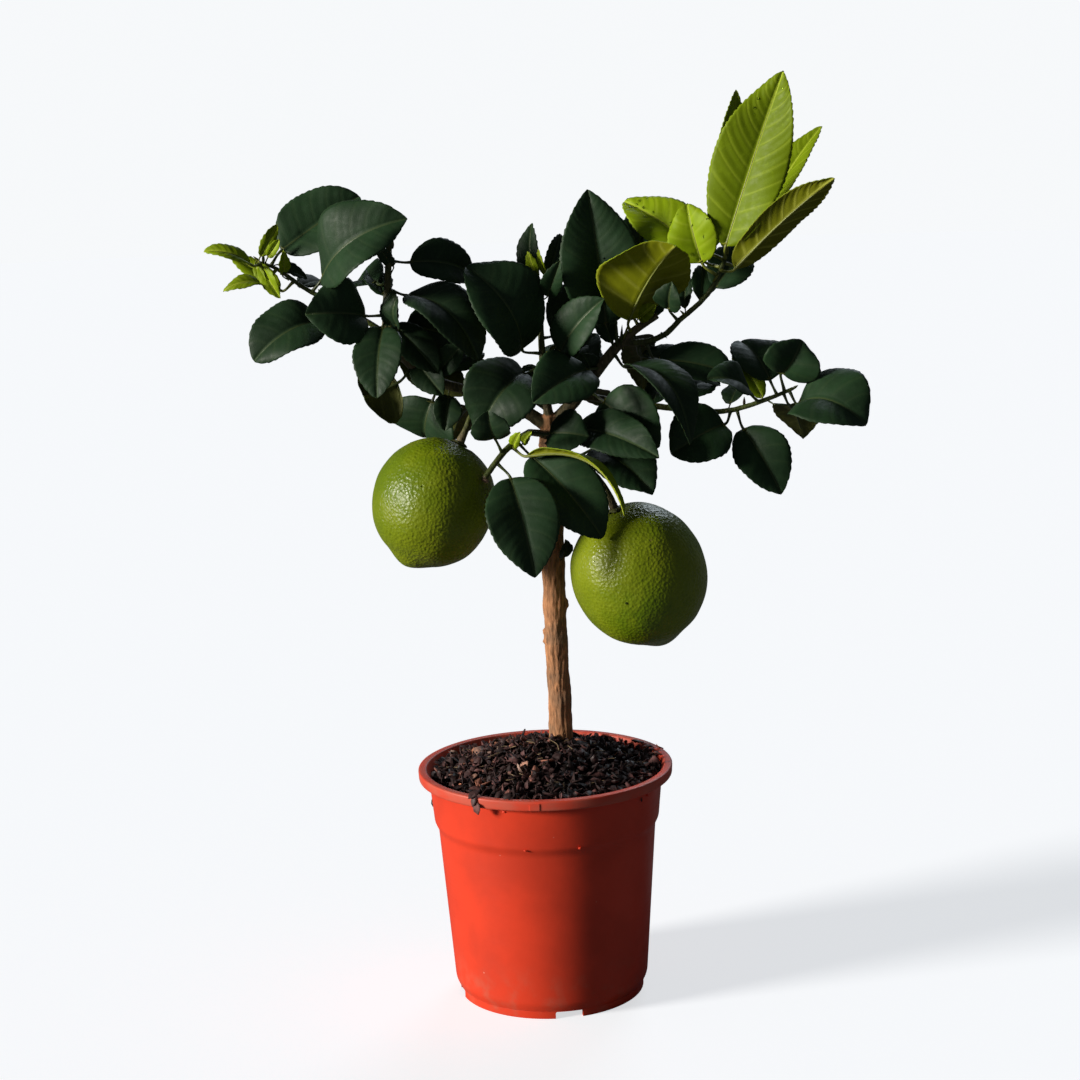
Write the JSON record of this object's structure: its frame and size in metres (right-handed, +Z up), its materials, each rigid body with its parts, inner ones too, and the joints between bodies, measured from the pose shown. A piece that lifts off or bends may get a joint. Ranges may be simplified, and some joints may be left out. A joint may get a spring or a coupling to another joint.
{
  "type": "potted lemon tree",
  "caption": "Small lemon tree with green fruit in a moulded nursery pot: slim bare trunk, open leafy crown, bark-topped potting mix inside a rolled rim.",
  "frame": {"origin": "on the pot's axis, at the level that the pot's foot rests on", "axes": "+Z up along the pot's axis, +X to the right of a viewer who faces the fruit, -Y towards that viewer"},
  "size_m": [0.3432, 0.1396, 0.4958],
  "materials": {
    "pot_plastic": "satin",
    "mulch": "matte",
    "bark": "matte",
    "lemon_peel": "satin",
    "mature_leaf": "satin",
    "young_leaf": "satin"
  },
  "bodies": {
    "root": {"pot": "pot_plastic", "potting_mix": "mulch", "tree_wood": "bark", "lemon_left": "lemon_peel", "lemon_right": "lemon_peel", "leaf_far_left_curled": "young_leaf", "leaf_far_left_slim": "young_leaf", "leaf_far_left_ragged": "young_leaf", "leaf_far_left_back": "mature_leaf", "leaf_far_left_front": "mature_leaf", "leaf_far_left_hanging": "mature_leaf", "leaf_far_left_low": "mature_leaf", "leaf_left_top_arching": "mature_leaf", "leaf_left_top_back": "mature_leaf", "leaf_left_long_arching": "mature_leaf", "leaf_left_middle_back": "mature_leaf", "leaf_left_middle_front": "mature_leaf", "leaf_left_hanging_front": "mature_leaf", "leaf_left_under": "mature_leaf", "leaf_left_low_side": "mature_leaf", "leaf_left_low_back": "mature_leaf", "leaf_left_inner_back": "mature_leaf", "leaf_middle_broad": "mature_leaf", "leaf_middle_upright": "mature_leaf", "leaf_middle_front": "mature_leaf", "leaf_middle_back": "mature_leaf", "leaf_middle_hanging": "mature_leaf", "leaf_middle_low_back": "mature_leaf", "leaf_right_upright": "mature_leaf", "leaf_right_upright_back": "mature_leaf", "leaf_right_veined": "young_leaf", "leaf_right_inner_front": "mature_leaf", "leaf_right_low_front": "mature_leaf", "leaf_right_hooked": "mature_leaf", "leaf_right_low_back": "mature_leaf", "leaf_right_lowest": "mature_leaf", "leaf_shoot_low_back": "mature_leaf", "leaf_shoot_low_front": "mature_leaf", "leaf_shoot_glossy": "mature_leaf", "leaf_shoot_side_back": "mature_leaf", "leaf_shoot_olive": "young_leaf", "leaf_shoot_upright": "young_leaf", "leaf_shoot_left": "young_leaf", "leaf_shoot_mid_back": "young_leaf", "leaf_shoot_top_back": "young_leaf", "leaf_shoot_top": "young_leaf", "leaf_twig_back_high": "mature_leaf", "leaf_twig_left_hanging": "mature_leaf", "leaf_twig_hanging": "mature_leaf", "leaf_twig_dished": "mature_leaf", "leaf_twig_folded": "mature_leaf", "leaf_twig_back": "mature_leaf", "leaf_twig_end": "mature_leaf", "leaf_twig_end_under": "mature_leaf", "leaf_front_yellow": "young_leaf", "leaf_front_face": "mature_leaf", "leaf_front_right_low": "mature_leaf", "leaf_front_small_right": "mature_leaf", "leaf_front_small_up": "mature_leaf", "leaf_stalk_right": "mature_leaf"}
  },
  "joints": []
}
